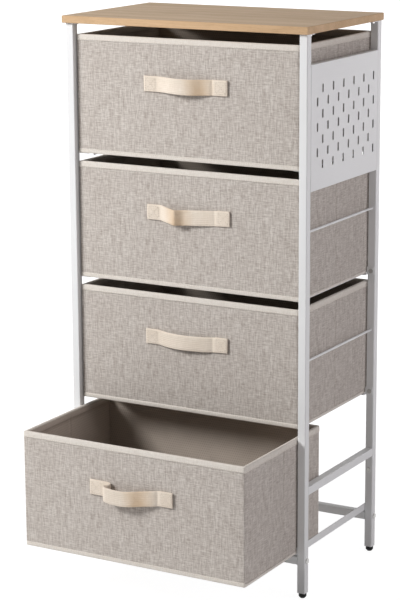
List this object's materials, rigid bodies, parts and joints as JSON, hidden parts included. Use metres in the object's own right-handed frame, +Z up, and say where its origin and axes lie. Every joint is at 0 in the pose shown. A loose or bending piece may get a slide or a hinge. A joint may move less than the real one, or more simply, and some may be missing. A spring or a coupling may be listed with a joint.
{
  "type": "fabric drawer dresser",
  "caption": "Narrow steel-framed dresser with a wood slab top, folding fabric drawers that slide out by webbing straps, and a slotted side panel.",
  "frame": {"origin": "on the floor, at the middle of the whole box with the lowest drawer pulled out as stored", "axes": "+X to the right seen from the front, +Y to the back, +Z up"},
  "size_m": [0.45, 0.459, 0.932],
  "materials": {
    "wood_slab": "oak grain foil on board, satin",
    "white_powder_coat": "fine powder coat on steel",
    "black_plastic": "moulded, matt",
    "zinc_steel": "zinc plated",
    "woven_cover": "coarse plain weave, mottled",
    "dark_lining": "coated lining",
    "grey_board": "raw grey fibreboard",
    "lined_board": "fibreboard covered in lining",
    "binding_tape": "woven tape, folded",
    "cotton_webbing": "ribbed webbing"
  },
  "bodies": {
    "frame": {"base_runner_left": "white_powder_coat", "base_runner_right": "white_powder_coat", "carrier_1_left": "white_powder_coat", "carrier_1_right": "white_powder_coat", "carrier_2_left": "white_powder_coat", "carrier_2_right": "white_powder_coat", "carrier_3_left": "white_powder_coat", "carrier_3_right": "white_powder_coat", "carrier_screws": "zinc_steel", "cross_rail_bolts": "zinc_steel", "cross_rail_front": "white_powder_coat", "cross_rail_inserts": "zinc_steel", "cross_rail_rear": "white_powder_coat", "glides": "black_plastic", "leg_front_left": "white_powder_coat", "leg_front_right": "white_powder_coat", "leg_rear_left": "white_powder_coat", "leg_rear_right": "white_powder_coat", "mid_rail_left": "white_powder_coat", "mid_rail_right": "white_powder_coat", "side_panel_right": "white_powder_coat", "side_wires_left": "white_powder_coat", "side_wires_right": "white_powder_coat", "spare_screws": "zinc_steel", "tabletop": "wood_slab", "tabletop_screws": "zinc_steel", "tabletop_tabs": "white_powder_coat"},
    "drawer_1": {"drawer_1_base_board": "lined_board", "drawer_1_base_tape": "binding_tape", "drawer_1_cover": "woven_cover", "drawer_1_handle": "cotton_webbing", "drawer_1_lining": "dark_lining", "drawer_1_rim_tape": "binding_tape", "drawer_1_wall_boards": "grey_board"},
    "drawer_2": {"drawer_2_base_board": "lined_board", "drawer_2_base_tape": "binding_tape", "drawer_2_cover": "woven_cover", "drawer_2_handle": "cotton_webbing", "drawer_2_lining": "dark_lining", "drawer_2_rim_tape": "binding_tape", "drawer_2_wall_boards": "grey_board"},
    "drawer_3": {"drawer_3_base_board": "lined_board", "drawer_3_base_tape": "binding_tape", "drawer_3_cover": "woven_cover", "drawer_3_handle": "cotton_webbing", "drawer_3_lining": "dark_lining", "drawer_3_rim_tape": "binding_tape", "drawer_3_wall_boards": "grey_board"},
    "drawer_4": {"drawer_4_base_board": "lined_board", "drawer_4_base_tape": "binding_tape", "drawer_4_cover": "woven_cover", "drawer_4_handle": "cotton_webbing", "drawer_4_lining": "dark_lining", "drawer_4_rim_tape": "binding_tape", "drawer_4_wall_boards": "grey_board"}
  },
  "joints": [
    {"name": "drawer_1_slide", "type": "slide", "parent": "frame", "child": "drawer_1", "axis": [0, -1, 0], "range_m": [0, 0.2]},
    {"name": "drawer_2_slide", "type": "slide", "parent": "frame", "child": "drawer_2", "axis": [0, -1, 0], "range_m": [0, 0.2]},
    {"name": "drawer_3_slide", "type": "slide", "parent": "frame", "child": "drawer_3", "axis": [0, -1, 0], "range_m": [0, 0.2]},
    {"name": "drawer_4_slide", "type": "slide", "parent": "frame", "child": "drawer_4", "axis": [0, -1, 0], "range_m": [-0.182, 0.018]}
  ]
}
